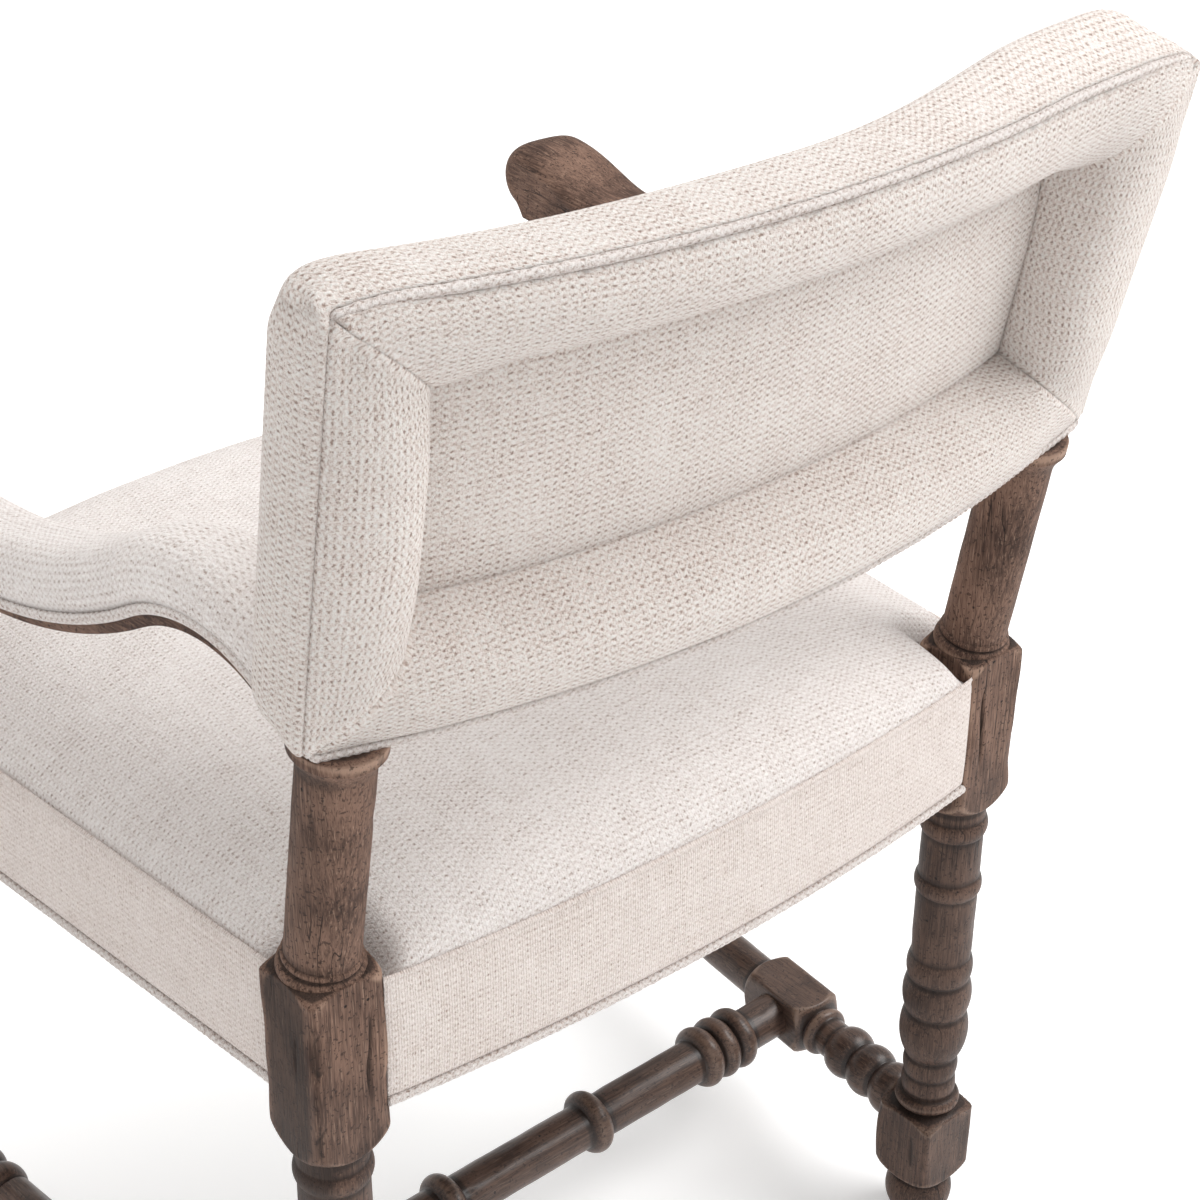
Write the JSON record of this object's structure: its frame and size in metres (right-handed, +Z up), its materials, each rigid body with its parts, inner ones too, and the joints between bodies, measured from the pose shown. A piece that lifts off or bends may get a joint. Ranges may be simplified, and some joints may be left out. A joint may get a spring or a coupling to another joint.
{
  "type": "dining armchair",
  "caption": "Dining armchair with turned wooden legs and stretchers, scrolled arms with upholstered pads, a tight crowned seat and a low curved back with a padded mitred rear border.",
  "frame": {"origin": "on the floor, at the middle of the chair's plan box", "axes": "+Z up; the sitter faces -Y; +X is the sitter's left"},
  "size_m": [0.675, 0.6398, 0.9222],
  "materials": {
    "turned_wood": "weathered, waxed",
    "frame_wood": "sawn, bare",
    "upholstery": "nubbly basket weave",
    "piping": "nubbly basket weave",
    "webbing": "coarse jute",
    "dust_cloth": "plain black cloth",
    "glide": "moulded"
  },
  "bodies": {
    "root": {"arm_left": "turned_wood", "arm_pad_left": "upholstery", "arm_pad_right": "upholstery", "arm_right": "turned_wood", "arm_welt_left": "piping", "arm_welt_right": "piping", "back_border_bottom": "upholstery", "back_border_left": "upholstery", "back_border_right": "upholstery", "back_border_top": "upholstery", "back_cushion": "upholstery", "back_panel": "upholstery", "back_rail_bottom": "frame_wood", "back_rail_top": "frame_wood", "back_welt_bottom": "piping", "back_welt_top": "piping", "corner_block_front_left": "frame_wood", "corner_block_front_right": "frame_wood", "corner_block_rear_left": "frame_wood", "corner_block_rear_right": "frame_wood", "cross_stretcher": "turned_wood", "dust_cover": "dust_cloth", "front_glide_left": "glide", "front_glide_right": "glide", "front_leg_left": "turned_wood", "front_leg_right": "turned_wood", "rear_glide_left": "glide", "rear_glide_right": "glide", "rear_leg_left": "turned_wood", "rear_leg_right": "turned_wood", "seat_band_front": "upholstery", "seat_band_left": "upholstery", "seat_band_rear": "upholstery", "seat_band_right": "upholstery", "seat_cushion": "upholstery", "seat_rail_front": "frame_wood", "seat_rail_left": "frame_wood", "seat_rail_rear": "frame_wood", "seat_rail_right": "frame_wood", "seat_web_centre": "webbing", "seat_web_front": "webbing", "seat_web_left": "webbing", "seat_web_middle": "webbing", "seat_web_rear": "webbing", "seat_web_right": "webbing", "seat_welt_front": "piping", "seat_welt_left": "piping", "seat_welt_rear": "piping", "seat_welt_right": "piping", "side_stretcher_left": "turned_wood", "side_stretcher_right": "turned_wood"}
  },
  "joints": []
}
